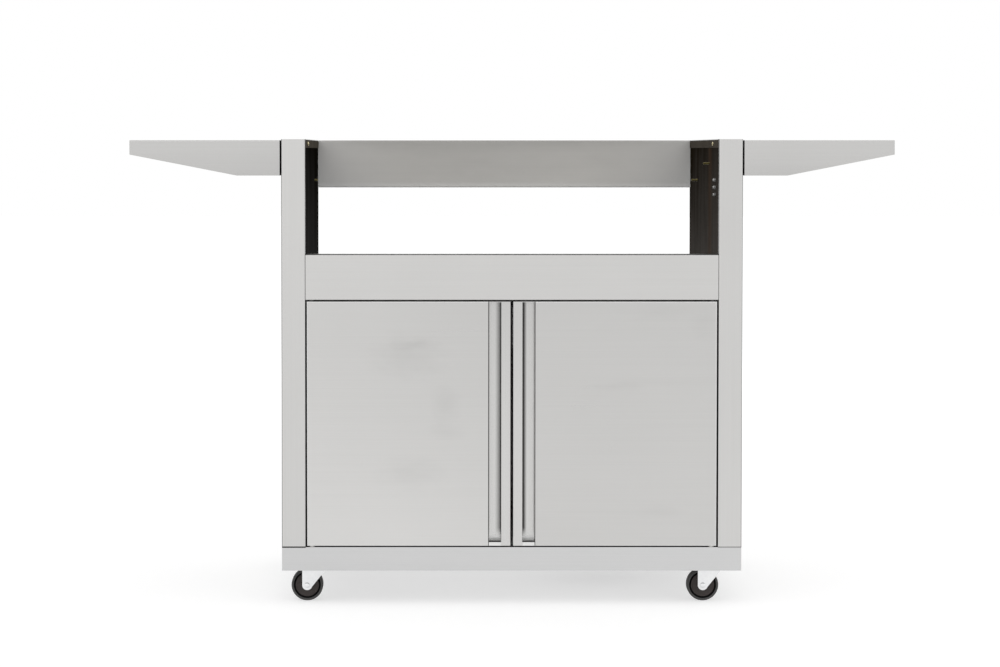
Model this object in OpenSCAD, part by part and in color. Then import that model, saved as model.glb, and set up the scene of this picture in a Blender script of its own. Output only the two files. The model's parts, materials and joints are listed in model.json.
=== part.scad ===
/* [Body] */
// width of the cart body over both side walls
body_w = 914; // [880:1:1000]
// depth of the cart body, front to back
body_d = 610; // [560:1:660]
// height of the wall tops above the floor
cart_h = 926; // [900:1:980]
// width of each side wall, which is also the width of the front post
wall_w = 47.5; // [44:0.5:56]
// thickness of the outer stainless sheet
skin_t = 1.2; // [1:0.1:1.5]
// inside radius of the sheet bends
bend_r = 1; // [0.5:0.1:1.2]

/* [Base pan] */
// height of the lower edge of the base pan above the floor
base_z = 68.5; // [68.5:0.5:74]
// height of the base pan's skirt
base_h = 47; // [46:0.5:56]
// sheet thickness of the base pan and of the rails under it
base_t = 1.5; // [1.2:0.1:2]
// width of the lip turned in along the skirt's lower edge
base_lip = 14; // [8:1:16]
// radius of the gas bottle's seat
tank_r = 104; // [102:0.5:112]
// distance of the gas bottle's seat to the right of the middle
tank_x = 190; // [150:1:220]
// distance of the gas bottle's seat behind the middle
tank_y = 20; // [-40:1:60]
// depth of the collar turned down round the gas bottle's seat
tank_collar = 9.5; // [6:0.5:12]

/* [Casters] */
// radius of the wheel over its tread
wheel_r = 31.75; // [30:0.25:32]
// width of the tyre
wheel_w = 24; // [20:1:26]
// radius where the tyre meets the hub
hub_r = 24; // [22:0.5:25]
// distance of the axle behind the swivel axis
trail = 12; // [8:0.5:16]
// distance of the swivel axes to each side of the middle
caster_x = 397; // [380:1:400]
// distance of the swivel axes in front of and behind the middle
caster_y = 243; // [200:1:246]
// radius of the axle bolt
axle_r = 3; // [2.5:0.25:3.5]
// radius of the kingpin
kingpin_r = 4; // [3.5:0.25:4.5]
// radial play of the wheels and forks on their pins
turn_fit = 0.06; // [0.04:0.01:0.09]
// width and length of the square top plate
plate_w = 64; // [60:1:68]

/* [Walls and panels] */
// height of the back upper rail
back_rail_h = 104; // [90:1:120]
// distance of the back rail's and rear panel's sheet in front of the rear edge
back_step = 12; // [10:1:20]
// height of the top rail's inner leg
top_rail_h = 17; // [12:1:22]
// height of the front apron
apron_h = 91; // [80:1:100]
// depth of the front apron's lower flange
apron_d = 50; // [46:1:60]
// height of the rear panel's top edge above the floor
rear_panel_z = 640; // [560:1:650]
// distance of the first row of vents below the rear panel's top edge
vent_drop = 92; // [86:1:110]
// distance from one row of vents to the next
vent_pitch = 18; // [14:0.5:22]
// length of a vent
vent_w = 80; // [50:1:90]
// height of a vent
vent_h = 7; // [4:0.5:9]
// height of the heat shield above the apron's lower edge
shield_rise = 13; // [12:1:20]
// radius of the hole for the gas hose
hose_hole_r = 20; // [18:0.5:24]
// radius of the grommet's bore
grommet_r = 11; // [9:0.5:13]

/* [Doors] */
// height of each door
door_h = 486; // [440:0.5:500]
// thickness of each door
door_t = 32; // [30:1:36]
// gap between a door and its post
door_side_gap = 2.5; // [2:0.1:3]
// gap between the two doors
door_mid_gap = 4.6; // [4:0.2:6]
// gap above and below the doors
door_gap_z = 2.8; // [1.8:0.1:3]
// distance of the pivot from the door's hinge edge
pivot_in = 10; // [9.5:0.1:11]
// distance of the pivot behind the door's front face
pivot_back = 6; // [6:0.1:6.4]
// radius of the door's pivot pins
pivot_r = 3; // [2.5:0.1:3.2]
// radial play of the pins in the door's bushings
pivot_fit = 0.06; // [0.04:0.01:0.09]
// width of the grip strip of the full height pull
grip_w = 19.2; // [17:0.1:24]
// width of the finger channel beside the grip strip
channel_w = 24; // [22:0.5:30]
// height of the lip that closes the channel's foot
foot_lip = 7; // [5:0.5:7.5]

/* [Side shelves] */
// length of each shelf from the wall to its outer end
shelf_l = 297; // [260:1:320]
// depth of each shelf, front to back
shelf_d = 600; // [540:1:604]
// height of the shelf's skirt beside the wall
shelf_h = 70; // [68:1:76]
// height of the skirt at the shelf's outer end
shelf_end_h = 28.5; // [24:0.5:34]
// length of the part of the skirt that has its full height
shelf_flat = 85; // [70:1:110]
// distance of the shelf's top below the wall tops
shelf_drop = 2; // [1:0.5:6]
// gap between the shelf and the wall
shelf_gap = 3; // [3:0.1:4]
// distance of the shelf's hinge axis from the wall
shelf_hinge_out = 13; // [13:0.1:15]
// height of the shelf's hinge axis above the skirt's lower edge
shelf_hinge_up = 7; // [6:0.1:7.4]
// distance of the front hinge bracket in front of the middle
front_bracket = 112; // [90:1:140]
// distance of the rear hinge bracket behind the middle
rear_bracket = 130; // [90:1:160]
// radius of the hinge's pivot pins
shelf_pin_r = 3; // [2.5:0.25:3.5]
// radial play of the lugs on the pivot pins
shelf_fit = 0.06; // [0.04:0.01:0.09]

/* [Fasteners] */
// shaft radius of the casters' hex bolts
bolt_r = 3; // [2.5:0.25:3.5]
// shaft radius of the shelf brackets' hex bolts
bracket_bolt_r = 2.5; // [2:0.25:3]
// height of a hex bolt's head and of its nut
bolt_head_h = 4; // [3:0.25:4.5]
// shaft radius of the small pan head screws
screw_r = 2; // [1.5:0.25:2.5]
// head radius of the small pan head screws
screw_head_r = 4; // [3.5:0.25:4.5]
// gap round a fixed screw, bolt or pin in its hole
hole_fit = 0.1; // [0.05:0.05:0.2]
// length that a long bracket bolt stands out in the left and the right bay wall
bolt_tail = [7, 13];

/* [Hidden] */
$fn = 48;

half_w = body_w / 2;
front_y = -body_d / 2;
back_y = body_d / 2;
wall_in = half_w - wall_w;
liner_x = wall_in + skin_t;
base_top = base_z + base_h;
sheet_y = back_y - back_step;
lip_d = 12;
flange_y = (sheet_y + back_y) / 2;

rail_w = 72;
rail_flange = 16;
rail_y = back_y - 20;
plate_t = 2.5;
plate_z = base_z + 9;
rail_z = plate_z + plate_t;
crown_z = base_z - 2.5;
crown_t = 2.5;
crown_r = 22;
cheek_t = 2.5;
cheek_in = wheel_w / 2 + 2;
head_gap = 0.3;
plate_bolt_xy = plate_w / 2 - 8;
casters = [[-1, -1], [1, -1], [-1, 1], [1, 1]];

door_z0 = base_top + door_gap_z;
door_z1 = door_z0 + door_h;
apron_z0 = door_z1 + door_gap_z;
apron_z1 = apron_z0 + apron_h;
door_x0 = door_mid_gap / 2;
door_x1 = wall_in - door_side_gap;
door_back = front_y + door_t;
floor_y = door_back - 3 * skin_t;
channel_x0 = door_x0 + grip_w;
channel_x1 = channel_x0 + channel_w;
pivot_x = door_x1 - pivot_in;
pivot_y = front_y + pivot_back;
bushing_r = pivot_back - skin_t - 0.2;
pin_head_r = pivot_back - skin_t - bend_r;
strike_x = channel_x1 + 14;
strike_w = 34;
magnet_gap = 0.4;
strike_t = 1;

shelf_x0 = half_w + shelf_gap;
shelf_x1 = shelf_x0 + shelf_l;
shelf_z1 = cart_h - shelf_drop;
shelf_z0 = shelf_z1 - shelf_h;
shelf_y0 = front_y + 2;
shelf_y1 = shelf_y0 + shelf_d;
shelf_pin_x = half_w + shelf_hinge_out;
shelf_pin_z = shelf_z0 + shelf_hinge_up;
bracket_t = 3;
bracket_half = 15;
bolt_low_z = shelf_z0 - 13.5;
bolt_high_z = shelf_z0 + 23;
lug_t = 2.5;
lug_gap = 0.5;

shield_z = apron_z0 + shield_rise;
shield_y0 = front_y + apron_d + 5;
hose_x = -250;
hose_z = 200;

rail_screw_y = front_y + 112;
// y, z and the face from which each small screw goes into the inner panel
liner_screw_yz = [
    [front_y + 30, apron_z0 + 30], [front_y + 30, apron_z1 - 25],
    [shield_y0 + 40, shield_z - 10], [0, shield_z - 10], [sheet_y - 40, shield_z - 10],
    [flange_y, base_top + 60], [flange_y, (base_top + rear_panel_z) / 2],
    [flange_y, rear_panel_z - 60],
    [flange_y, cart_h - 30], [flange_y, cart_h - back_rail_h + 25]];
dome_nut_y = front_y + 76;
dome_nut_z = [for (i = [0:2]) shelf_z0 - 9.5 - 14.7 * i];

// unit vector from p to q, and the same turned a quarter turn to the left
function unit(p, q) = (q - p) / norm(q - p);
function left(u) = [-u[1], u[0]];

// points of one bend of a folded sheet, at offset o to the left of the drawn path
function bend_points(p, q, s, t, o) =
    let (u = unit(p, q), v = unit(q, s))
    let (turn = sign(u[0] * v[1] - u[1] * v[0]))
    let (half = acos(u * v) / 2)
    let (path_r = turn > 0 ? bend_r + t : bend_r)
    let (c = q - u * path_r * tan(half) + left(u) * turn * path_r)
    let (r = path_r - turn * o, start = atan2(-left(u)[1] * turn, -left(u)[0] * turn))
    [for (i = [0:4]) c + r * [cos(start + turn * half * i / 2), sin(start + turn * half * i / 2)]];

// one side of a folded sheet's section, at offset o to the left of its path
function side_points(path, t, o) = concat(
    [path[0] + left(unit(path[0], path[1])) * o],
    [for (i = [1:1:len(path) - 2])
        for (p = bend_points(path[i - 1], path[i], path[i + 1], t, o)) p],
    [path[len(path) - 1] + left(unit(path[len(path) - 2], path[len(path) - 1])) * o]);

// section of a sheet folded along the path, its thickness to the left of the path
module folded(path, t) {
    back = side_points(path, t, t);
    polygon(concat(side_points(path, t, 0), [for (i = [len(back) - 1:-1:0]) back[i]]));
}

// block between two corners
module block(a, b) {
    translate(a) cube(b - a);
}

// extrusions of a section drawn in Y and Z, and of one drawn in X and Z
module along_x(x0, x1) {
    translate([x0, 0, 0]) rotate([90, 0, 90]) linear_extrude(x1 - x0) children();
}

module along_y(y0, y1) {
    translate([0, y1, 0]) rotate([90, 0, 0]) linear_extrude(y1 - y0) children();
}

// rectangle about the middle with rounded corners
module round_rect(w, d, r) {
    polygon([for (k = [0:3]) for (i = [0:4])
        [(k == 0 || k == 3 ? 1 : -1) * (w / 2 - r), (k < 2 ? 1 : -1) * (d / 2 - r)]
            + r * [cos(90 * k + 22.5 * i), sin(90 * k + 22.5 * i)]]);
}

// cylinder along X, or along Y, from one coordinate to the other
module rod_x(x0, x1, y, z, r) {
    translate([x0, y, z]) rotate([0, 90, 0]) cylinder(h = x1 - x0, r = r);
}

module rod_y(y0, y1, x, z, r) {
    translate([x, y0, z]) rotate([-90, 0, 0]) cylinder(h = y1 - y0, r = r);
}

module hex(h, r) {
    cylinder(h = h, r = r * 2, $fn = 6);
}

// pan head screw along X with its head's underside at x and its tip further out
module pan_screw(x, y, z) {
    translate([x, y, z]) rotate([0, 90, 0]) {
        cylinder(h = 8, r = screw_r);
        translate([0, 0, -1.6]) cylinder(h = 1.6, r = screw_head_r);
        translate([0, 0, -2.6]) cylinder(h = 1, r1 = screw_head_r * 0.6, r2 = screw_head_r);
    }
}

module mirrored() {
    mirror([1, 0, 0]) children();
}

module both_sides() {
    children();
    mirrored() children();
}

module at_casters() {
    for (c = casters) translate([c[0] * caster_x, c[1] * caster_y, 0]) children();
}

module pivot_holes() {
    both_sides() translate([pivot_x, pivot_y, base_top - 10])
        cylinder(h = 20, r = pivot_r + hole_fit);
}

module base_pan() color("#c9c9c6") difference() {
    union() {
        translate([0, 0, base_z]) linear_extrude(base_h) difference() {
            round_rect(body_w, body_d, bend_r + base_t);
            round_rect(body_w - 2 * base_t, body_d - 2 * base_t, bend_r);
        }
        translate([0, 0, base_top - base_t]) linear_extrude(base_t)
            round_rect(body_w, body_d, bend_r + base_t);
        translate([0, 0, base_z]) linear_extrude(base_t) difference() {
            round_rect(body_w - base_t, body_d - base_t, bend_r);
            square([body_w - 2 * base_lip, body_d - 2 * base_lip], center = true);
        }
        translate([tank_x, tank_y, base_top - tank_collar])
            cylinder(h = tank_collar, r = tank_r + base_t, $fn = 96);
    }
    translate([tank_x, tank_y, 0]) cylinder(h = cart_h, r = tank_r, $fn = 96);
    pivot_holes();
}

// hat section channel, open upwards, with its flanges' top at z = 0
module hat(half, flange, h, t) {
    folded([[-half - flange, -t], [-half, -t], [-half, -h], [half, -h], [half, -t],
        [half + flange, -t]], t);
}

module caster_rail() color("#a9abac") difference() {
    along_y(-rail_y, rail_y) translate([caster_x, base_top - base_t])
        hat(rail_w / 2, rail_flange, base_top - base_t - rail_z, base_t);
    for (s = [-1, 1]) translate([caster_x, s * caster_y, rail_z - 1]) {
        cylinder(h = 6, r = kingpin_r + 5);
        for (x = [-1, 1], y = [-1, 1]) translate([x * plate_bolt_xy, y * plate_bolt_xy, 0])
            cylinder(h = 6, r = bolt_r + hole_fit);
    }
}

module caster_top_plates() color("#d6d8da") at_casters() difference() {
    union() {
        translate([0, 0, plate_z]) linear_extrude(plate_t) round_rect(plate_w, plate_w, 5);
        translate([0, 0, plate_z - 4]) cylinder(h = 4, r = crown_r - 3);
    }
    translate([0, 0, plate_z - 5]) cylinder(h = 4, r = crown_r - 8);
    cylinder(h = cart_h, r = kingpin_r + hole_fit);
    for (x = [-1, 1], y = [-1, 1]) translate([x * plate_bolt_xy, y * plate_bolt_xy, 0])
        cylinder(h = cart_h, r = bolt_r + hole_fit);
}

module caster_plate_bolts() color("#bfc2c4") at_casters()
    for (x = [-1, 1], y = [-1, 1]) translate([x * plate_bolt_xy, y * plate_bolt_xy, 0]) {
        translate([0, 0, plate_z - bolt_head_h]) hex(bolt_head_h, bolt_r);
        translate([0, 0, plate_z - bolt_head_h]) cylinder(h = 18, r = bolt_r);
        translate([0, 0, rail_z + base_t]) hex(bolt_head_h, bolt_r);
    }

module caster_kingpins() color("#bfc2c4") at_casters() {
    translate([0, 0, crown_z - 2]) cylinder(h = 2 - head_gap, r = kingpin_r + 2);
    translate([0, 0, crown_z - 1]) cylinder(h = rail_z - crown_z + 3, r = kingpin_r);
    translate([0, 0, rail_z]) cylinder(h = 3, r1 = kingpin_r + 3, r2 = kingpin_r + 1);
}

module at_caster(i) {
    translate([casters[i][0] * caster_x, casters[i][1] * caster_y, 0]) children();
}

module cheek() {
    top = crown_z + crown_t;
    polygon([[-crown_r, top], [-crown_r, wheel_r], [-trail, wheel_r], [-trail + 8.7, wheel_r - 4.4],
        [crown_r, crown_z - 7], [crown_r, top]]);
    translate([-trail, wheel_r]) circle(r = 10);
}

module caster_fork(i) color("#e4e6e8") at_caster(i) difference() {
    union() {
        for (s = [0, 1]) mirror([0, s, 0]) along_y(cheek_in, cheek_in + cheek_t) cheek();
        block([-crown_r, -cheek_in - cheek_t, crown_z], [crown_r, cheek_in + cheek_t, crown_z + crown_t]);
        translate([0, 0, crown_z]) cylinder(h = crown_t, r = crown_r);
        translate([0, 0, crown_z]) cylinder(h = plate_z - 1 - crown_z - head_gap, r = crown_r - 9);
    }
    translate([0, 0, crown_z - 1]) cylinder(h = 20, r = kingpin_r + turn_fit);
    rod_y(-30, 30, -trail, wheel_r, axle_r + hole_fit);
}

module caster_axle(i) color("#aeb1b4") at_caster(i) translate([-trail, 0, wheel_r]) {
    out = cheek_in + cheek_t;
    rod_y(-out, out + 5, 0, 0, axle_r);
    translate([0, -out, 0]) rotate([90, 0, 0]) hex(2.5, axle_r);
    translate([0, out, 0]) rotate([-90, 0, 0]) hex(bolt_head_h, axle_r);
}

// wheel parts are turned about Y at the axle
module turned(i) {
    at_caster(i) translate([-trail, 0, wheel_r]) rotate([90, 0, 0])
        rotate_extrude($fn = 72) children();
}

module caster_hub(i) color("#4a4644") turned(i) {
    boss = cheek_in - head_gap;
    rim = wheel_w / 2 - 1;
    polygon([[axle_r + turn_fit, -boss], [8, -boss], [8.8, -rim + 1], [hub_r - 2, -rim],
        [hub_r, -rim + 1], [hub_r, rim - 1], [hub_r - 2, rim], [8.8, rim - 1], [8, boss],
        [axle_r + turn_fit, boss]]);
}

module caster_tyre(i) color("#262524") turned(i) {
    h = wheel_w / 2;
    shoulder = 3;
    side = [[hub_r, h - 5], [hub_r + 2, h - 5], [hub_r + 3, h - 0.6], [hub_r + 4, h]];
    round = [for (a = [90:-22.5:0]) [wheel_r - shoulder, h - shoulder] + shoulder * [cos(a), sin(a)]];
    half = concat(side, round);
    polygon(concat(half, [for (j = [len(half) - 1:-1:0]) [half[j][0], -half[j][1]]]));
}

module wall_outline() {
    translate([wall_in + wall_w / 2, 0]) round_rect(wall_w, body_d, bend_r + skin_t);
}

// bracket bolts: distance behind the middle, height
bolt_low = [rear_bracket, bolt_low_z];
bolt_high = [-front_bracket, bolt_high_z];

// all four bolts of a wall go through its outer skin, and the long ones through the inner panel too
function wall_bolts() = [for (y = [-front_bracket, rear_bracket]) for (z = [bolt_low_z, bolt_high_z]) [y, z]];
function long_bolts(s) = s > 0 ? [bolt_low, bolt_high] : [bolt_low];

module side_panel() color("#cbcbc8") difference() {
    union() {
        translate([0, 0, base_top]) linear_extrude(cart_h - base_top) folded([
            [wall_in, front_y + lip_d], [wall_in, front_y], [half_w, front_y], [half_w, back_y],
            [liner_x, back_y]], skin_t);
        translate([0, 0, cart_h - skin_t]) linear_extrude(skin_t) wall_outline();
    }
    for (b = wall_bolts()) rod_x(half_w - 10, half_w + 10, b[0], b[1], bracket_bolt_r + hole_fit);
}

module inner_panel(s) color("#3a3633") difference() {
    block([liner_x, front_y + skin_t + bend_r, base_top],
        [liner_x + skin_t, back_y - skin_t, cart_h - 2 * skin_t - bend_r]);
    for (p = liner_screw_yz) rod_x(liner_x - 5, liner_x + 5, p[0], p[1], screw_r + hole_fit);
    rod_x(liner_x - 5, liner_x + 5, rail_screw_y, cart_h - 9, screw_r + hole_fit);
    for (b = long_bolts(s)) rod_x(liner_x - 5, liner_x + 5, b[0], b[1], bracket_bolt_r + hole_fit);
    if (s > 0) for (z = dome_nut_z) rod_x(liner_x - 5, liner_x + 5, dome_nut_y, z, screw_r + hole_fit);
}

module top_rail() color("#5c5a58") difference() {
    along_y(front_y + lip_d + 1, sheet_y - 1)
        folded([[wall_in + 30, cart_h - skin_t], [wall_in, cart_h - skin_t],
            [wall_in, cart_h - top_rail_h]], skin_t);
    rod_x(wall_in - 5, liner_x + 5, rail_screw_y, cart_h - 9, screw_r + hole_fit);
}

module wall_stiffeners() color("#8f9193") both_sides() for (y = [-front_bracket, rear_bracket]) difference() {
    translate([0, y, base_top + skin_t]) linear_extrude(cart_h - base_top - 20)
        folded([[liner_x + skin_t, -bracket_half], [half_w - skin_t, -bracket_half],
            [half_w - skin_t, bracket_half], [liner_x + skin_t, bracket_half]], base_t);
    for (z = [bolt_low_z, bolt_high_z])
        rod_x(half_w - 10, half_w + 5, y, z, bracket_bolt_r + hole_fit);
}

module rail_screws() color("#d9d2b8") both_sides() pan_screw(wall_in, rail_screw_y, cart_h - 9);

module dome_nuts() color("#c4c6c8") for (z = dome_nut_z) {
    translate([liner_x, dome_nut_y, z]) rotate([0, -90, 0]) {
        cylinder(h = 2.6, r = 3.9, $fn = 6);
        cylinder(h = 3.6, r = 3.2);
        translate([0, 0, 3.6]) cylinder(h = 1.6, r1 = 3.2, r2 = 2.3);
        translate([0, 0, 5.2]) cylinder(h = 0.8, r1 = 2.3, r2 = 1);
    }
    rod_x(liner_x - 1, liner_x + 5, dome_nut_y, z, screw_r);
    rod_x(liner_x + skin_t, liner_x + skin_t + 2, dome_nut_y, z, screw_head_r);
}

module front_apron() color("#cbcbc8") difference() {
    union() {
        along_x(-wall_in + 0.4, wall_in - 0.4) folded([
            [front_y + 35, apron_z1 - lip_d], [front_y + 35, apron_z1], [front_y, apron_z1],
            [front_y, apron_z0], [front_y + apron_d, apron_z0],
            [front_y + apron_d, apron_z0 + lip_d]], skin_t);
        both_sides() block([wall_in - 0.4, front_y + lip_d + 0.5, apron_z0 + skin_t],
            [liner_x, front_y + apron_d - skin_t, apron_z1 - skin_t]);
        both_sides() block([wall_in - 2, front_y + lip_d + 0.5, apron_z0 + skin_t],
            [wall_in - 0.4, front_y + apron_d - skin_t, apron_z1 - skin_t]);
    }
    both_sides() {
        translate([pivot_x, pivot_y, apron_z0 - 5]) cylinder(h = 10, r = pivot_r + hole_fit);
        for (i = [0, 1]) rod_x(wall_in - 10, wall_in + 5, liner_screw_yz[i][0], liner_screw_yz[i][1],
            screw_r + hole_fit);
    }
}

module back_upper_rail() color("#a5a5a2") difference() {
    union() {
        z0 = cart_h - back_rail_h;
        along_x(-wall_in, wall_in) folded([[back_y, cart_h], [sheet_y, cart_h], [sheet_y, z0],
            [back_y, z0], [back_y, z0 + 10]], skin_t);
        both_sides() block([wall_in, sheet_y, z0], [liner_x, back_y, cart_h - 2 * skin_t]);
    }
    for (i = [8, 9]) both_sides() rod_x(wall_in - 5, wall_in + 5, liner_screw_yz[i][0],
        liner_screw_yz[i][1], screw_r + hole_fit);
}

module vent_slot(x, z) {
    along_y(sheet_y - 5, sheet_y + 5) translate([x, z]) {
        square([vent_w - vent_h, vent_h], center = true);
        for (s = [-1, 1]) translate([s * (vent_w - vent_h) / 2, 0]) circle(r = vent_h / 2, $fn = 24);
    }
}

module rear_panel() color("#b9b9b6") difference() {
    union() {
        along_x(-wall_in, wall_in) folded([[back_y, rear_panel_z - 10], [back_y, rear_panel_z],
            [sheet_y, rear_panel_z], [sheet_y, base_top], [back_y, base_top]], skin_t);
        both_sides() block([wall_in, sheet_y, base_top], [liner_x, back_y, rear_panel_z]);
    }
    for (row = [0:4], x = [-290, -180, -70, 70, 180, 290])
        vent_slot(x, rear_panel_z - vent_drop - row * vent_pitch);
    rod_y(sheet_y - 5, sheet_y + 5, hose_x, hose_z, hose_hole_r);
    for (i = [5, 6, 7]) both_sides() rod_x(wall_in - 5, wall_in + 5, liner_screw_yz[i][0],
        liner_screw_yz[i][1], screw_r + hole_fit);
}

module hose_grommet() color("#1f1e1d") translate([hose_x, sheet_y, hose_z]) rotate([-90, 0, 0])
    rotate_extrude() polygon([[grommet_r, -3], [hose_hole_r + 4, -3], [hose_hole_r + 4, 0],
        [hose_hole_r, 0], [hose_hole_r, skin_t], [hose_hole_r + 4, skin_t],
        [hose_hole_r + 4, skin_t + 3], [grommet_r, skin_t + 3]]);

module heat_shield() color("#9fa0a0") difference() {
    along_y(shield_y0, sheet_y - 1) folded([[liner_x, shield_z - 20], [liner_x, shield_z],
        [-liner_x, shield_z], [-liner_x, shield_z - 20]], skin_t);
    for (s = [-1, 1], col = [-3:3]) translate([col * 100, s * 120, shield_z - 5]) linear_extrude(10) {
        square([60, 8], center = true);
        for (e = [-1, 1]) translate([e * 30, 0]) circle(r = 4, $fn = 24);
    }
    for (i = [2, 3, 4]) both_sides() rod_x(wall_in - 5, wall_in + 5, liner_screw_yz[i][0],
        liner_screw_yz[i][1], screw_r + hole_fit);
}

module liner_screws() color("#c9cbcc") both_sides() for (i = [0:len(liner_screw_yz) - 1])
    pan_screw(i < 2 ? wall_in - 2 : wall_in, liner_screw_yz[i][0], liner_screw_yz[i][1]);

module door_pivot_pins() color("#c2c4c6") both_sides() translate([pivot_x, pivot_y, 0]) {
    translate([0, 0, base_top - base_t - 2]) cylinder(h = 2, r = pin_head_r);
    translate([0, 0, base_top - base_t - 1]) cylinder(h = base_t + 16, r = pivot_r);
    translate([0, 0, apron_z0 + skin_t]) cylinder(h = 2, r = pin_head_r);
    translate([0, 0, apron_z0 - 14]) cylinder(h = skin_t + 15, r = pivot_r);
}

module door_magnets() color("#1b1b1c") both_sides() difference() {
    y0 = door_back + strike_t + magnet_gap;
    block([strike_x - 3, y0, apron_z0 - 13], [strike_x + strike_w + 3, front_y + apron_d - 1, apron_z0]);
    block([strike_x + 6, y0 - 1, apron_z0 - 10], [strike_x + strike_w - 6, y0 + 0.6, apron_z0 - 4]);
}

module door_skin() color("#cccccb") difference() {
    union() {
        translate([0, 0, door_z0]) linear_extrude(door_h) folded([[channel_x1, floor_y],
            [channel_x1, front_y], [door_x1, front_y], [door_x1, door_back],
            [door_x1 - lip_d, door_back]], skin_t);
        for (z = [door_z0, door_z1 - skin_t])
            translate([0, 0, z]) linear_extrude(skin_t) polygon(side_points([[channel_x1, floor_y],
                [channel_x1, front_y], [door_x1, front_y], [door_x1, door_back],
                [channel_x1 + skin_t, door_back], [channel_x1 + skin_t, floor_y]], skin_t, 0));
        for (z = [door_z0, door_z1 - lip_d])
            block([channel_x1 + skin_t, door_back - skin_t, z], [door_x1 - 5, door_back, z + lip_d]);
    }
    translate([pivot_x, pivot_y, door_z0 - 5]) cylinder(h = door_h + 10, r = bushing_r);
}

module door_pull() color("#cccccb") {
    front_inner = front_y + skin_t;
    difference() {
        translate([0, 0, door_z0]) linear_extrude(door_h) folded([[channel_x1 + 14, floor_y + skin_t],
            [door_x0, floor_y + skin_t], [door_x0, front_y], [channel_x0, front_y],
            [channel_x0, front_y + 7]], skin_t);
        block([channel_x0 - 10, floor_y - 1, door_z0 - 1], [channel_x1, floor_y + 5, door_z0 + 6]);
        for (z = [door_z0, door_z1 - skin_t])
            block([channel_x1, floor_y - 1, z - 1], [channel_x1 + 30, floor_y + 5, z + skin_t + 1]);
    }
    along_x(door_x0 + skin_t, channel_x1) polygon([[front_inner, door_z0],
        [floor_y + skin_t, door_z0 + 2.6], [floor_y + skin_t, door_z0 + 3.8],
        [front_inner, door_z0 + skin_t]]);
    block([channel_x0 - 2, front_y, door_z0], [channel_x1, front_inner, door_z0 + foot_lip]);
    block([door_x0 + skin_t, front_inner, door_z1 - skin_t],
        [channel_x1, floor_y + skin_t, door_z1]);
    block([channel_x0 - 2, front_y, door_z1 - skin_t], [channel_x1, front_inner, door_z1]);
}

module door_back_panel() color("#b3b3b1")
    block([door_x0, floor_y + skin_t, door_z0 + skin_t],
        [door_x1 - skin_t - bend_r, door_back - skin_t, door_z1 - skin_t]);

module door_bushings() color("#f0efe9") translate([pivot_x, pivot_y, 0]) difference() {
    union() for (e = [[door_z0, 1], [door_z1, -1]]) translate([0, 0, e[0]]) mirror([0, 0, e[1] > 0 ? 0 : 1]) {
        translate([0, 0, head_gap - door_gap_z]) cylinder(h = door_gap_z - head_gap, r = bushing_r + 1.2);
        translate([0, 0, -0.5]) cylinder(h = 15, r = bushing_r);
    }
    translate([0, 0, door_z0 - 5]) cylinder(h = door_h + 10, r = pivot_r + pivot_fit);
}

module door_strike() color("#8d9092")
    block([strike_x, door_back, door_z1 - lip_d + 1], [strike_x + strike_w, door_back + strike_t, door_z1 - 1]);

// side view of the shelf, between its top and the sloping lower edge
module shelf_side() {
    polygon([[shelf_x0, shelf_z0], [shelf_x0 + shelf_flat, shelf_z0], [shelf_x1, shelf_z1 - shelf_end_h],
        [shelf_x1, shelf_z1], [shelf_x0, shelf_z1]]);
}

module shelf_pan() color("#c4c4c1") {
    intersection() {
        along_x(shelf_x0, shelf_x1) folded([[shelf_y1, shelf_z0 - 1], [shelf_y1, shelf_z1],
            [shelf_y0, shelf_z1], [shelf_y0, shelf_z0 - 1]], skin_t);
        along_y(shelf_y0 - 1, shelf_y1 + 1) shelf_side();
    }
    block([shelf_x1 - skin_t, shelf_y0 + skin_t / 2, shelf_z1 - shelf_end_h],
        [shelf_x1, shelf_y1 - skin_t / 2, shelf_z1 - skin_t / 2]);
    difference() {
        block([shelf_x0, shelf_y0 + skin_t / 2, shelf_z0],
            [shelf_x0 + skin_t, shelf_y1 - skin_t / 2, shelf_z1 - skin_t / 2]);
        for (b = lug_sides) translate([0, b[0], 0]) mirror([0, b[1] > 0 ? 0 : 1, 0])
            block([shelf_x0 - 1, -2 * bracket_half - 5, shelf_z0 - 1],
                [shelf_x0 + skin_t + 1, lug_t + bracket_t + 7, bolt_high_z + 15]);
    }
    for (y = [shelf_y0 + skin_t / 2, shelf_y1 - skin_t / 2 - 10]) along_y(y, y + 10)
        polygon([[shelf_x0 + shelf_flat, shelf_z0], [shelf_x1, shelf_z1 - shelf_end_h],
            [shelf_x1, shelf_z1 - shelf_end_h + skin_t], [shelf_x0 + shelf_flat, shelf_z0 + skin_t]]);
}

module shelf_stiffener() color("#a4a5a5") along_y(shelf_y0 + 12, shelf_y1 - 12)
    translate([shelf_x0 + shelf_l / 2, shelf_z1 - skin_t]) hat(18, 14, 14, skin_t);

// lug positions: distance behind the middle, direction away from the bracket's plate
lug_sides = [[-front_bracket - bracket_half, -1], [rear_bracket + bracket_half, 1]];

module shelf_lugs() color("#a4a5a5") for (b = lug_sides) {
    y = b[0] + b[1] * (bracket_t + lug_gap);
    difference() {
        union() {
            translate([0, y, 0]) mirror([0, b[1] > 0 ? 0 : 1, 0]) {
                block([shelf_x0 + 2, 0, shelf_z0 + 1], [shelf_x0 + 45, lug_t, shelf_z1 - skin_t]);
                block([shelf_x0 + 2, 0, shelf_z1 - skin_t - lug_t], [shelf_x0 + 45, 16, shelf_z1 - skin_t]);
            }
        }
        rod_y(y - 10, y + 10, shelf_pin_x, shelf_pin_z, shelf_pin_r + shelf_fit);
    }
}

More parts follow.
